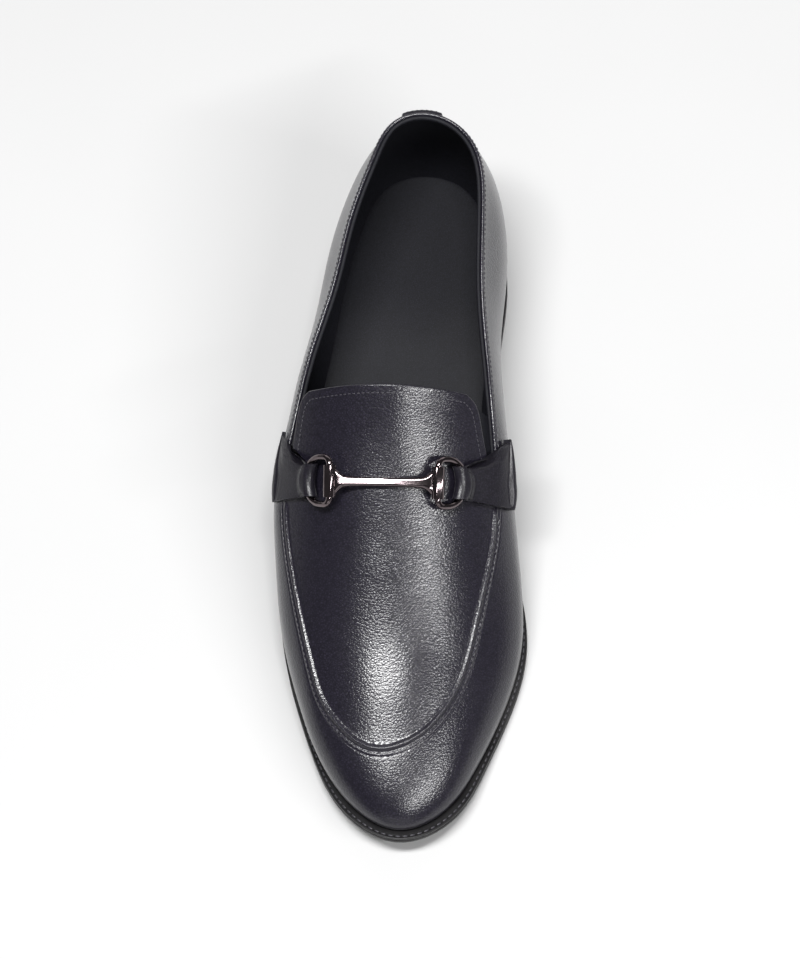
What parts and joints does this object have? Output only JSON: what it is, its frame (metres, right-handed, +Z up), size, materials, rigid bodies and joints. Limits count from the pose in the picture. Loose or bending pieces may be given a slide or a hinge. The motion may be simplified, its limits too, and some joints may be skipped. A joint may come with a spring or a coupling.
{
  "type": "slip-on loafer",
  "caption": "Black leather slip-on shoe for the right foot, with a raised apron seam, a metal bit held by straps over the instep, a welted leather sole and a low block heel.",
  "frame": {"origin": "middle of the shoe's outline in plan, on the floor that the heel and forefoot stand on", "axes": "+X towards the inner side of the foot, +Y from toe to heel, +Z up"},
  "size_m": [0.102, 0.2912, 0.0874],
  "materials": {
    "upper_leather": "satin black, fine grain",
    "sole_leather": "black, dressed edge",
    "lift_rubber": "matte black",
    "lining_leather": "matte blue-black",
    "dark_metal": "polished dark plating"
  },
  "bodies": {
    "root": {"outsole": "sole_leather", "welt": "sole_leather", "insole": "lining_leather", "heel": "sole_leather", "heel_top_lift": "lift_rubber", "upper": "upper_leather", "heel_tab": "upper_leather", "gusset_lateral": "lining_leather", "gusset_medial": "lining_leather", "strap_lateral": "upper_leather", "strap_medial": "upper_leather", "ring_lateral": "dark_metal", "ring_medial": "dark_metal", "bit_bar": "dark_metal"}
  },
  "joints": []
}
